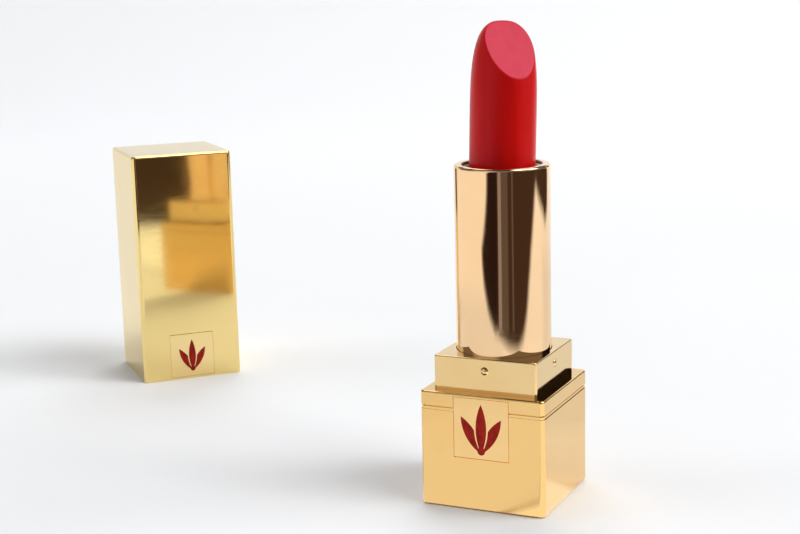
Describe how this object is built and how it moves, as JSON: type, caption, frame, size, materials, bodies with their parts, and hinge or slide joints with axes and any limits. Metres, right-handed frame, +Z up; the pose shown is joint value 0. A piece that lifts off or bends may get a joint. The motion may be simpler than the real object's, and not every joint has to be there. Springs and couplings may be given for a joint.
{
  "type": "lipstick case",
  "caption": "Square gold lipstick case with a round twist-up tube, a slanted red wax bullet and a lift-off square cap standing beside it.",
  "frame": {"origin": "centre of the base's underside, on the twist axis", "axes": "+Z up along the twist axis, -Y out of the face with the plaque, +X to the right of that face"},
  "size_m": [0.1383, 0.0862, 0.088],
  "materials": {
    "gold_anodised": "gold anodised, polished to a mirror",
    "gold_plaque": "gold anodised, polished plate",
    "rose_gold_anodised": "rose-gold anodised, polished",
    "steel": "plain pressed steel",
    "white_plastic": "moulded, satin",
    "black_plastic": "moulded, satin",
    "black_rubber": "soft, matt",
    "red_enamel": "gloss enamel fill",
    "red_wax": "satin wax",
    "label_paper": "plain, blank"
  },
  "bodies": {
    "base": {"base_shell": "gold_anodised", "base_weight": "steel", "base_band": "gold_anodised", "neck": "gold_anodised", "mechanism_seat": "white_plastic", "brake_ring": "black_rubber", "inner_tube": "white_plastic", "base_plaque": "gold_plaque", "base_enamel": "red_enamel", "shade_label": "label_paper"},
    "tube": {"outer_tube": "rose_gold_anodised", "spiral_sleeve": "black_plastic"},
    "lift": {"bullet_cup": "white_plastic", "bullet": "red_wax"},
    "cap": {"cap_shell": "gold_anodised", "cap_liner": "black_plastic", "cap_weight": "steel", "cap_plaque": "gold_plaque", "cap_enamel": "red_enamel"}
  },
  "joints": [
    {"name": "tube_twist", "type": "hinge", "parent": "base", "child": "tube", "pos_m": [0, 0, 0.04], "axis": [0, 0, 1], "range_deg": [0, 456.9]},
    {"name": "lift_slide", "type": "slide", "parent": "base", "child": "lift", "axis": [0, 0, 1], "range_m": [-0.0264, 0]},
    {"name": "cap_lift", "type": "slide", "parent": "base", "child": "cap", "axis": [0, 0, 1], "range_m": [0, 0.09]}
  ],
  "couplings": [
    {"joint": "lift_slide", "follows": "tube_twist", "m_per_rad": -0.0033104}
  ]
}
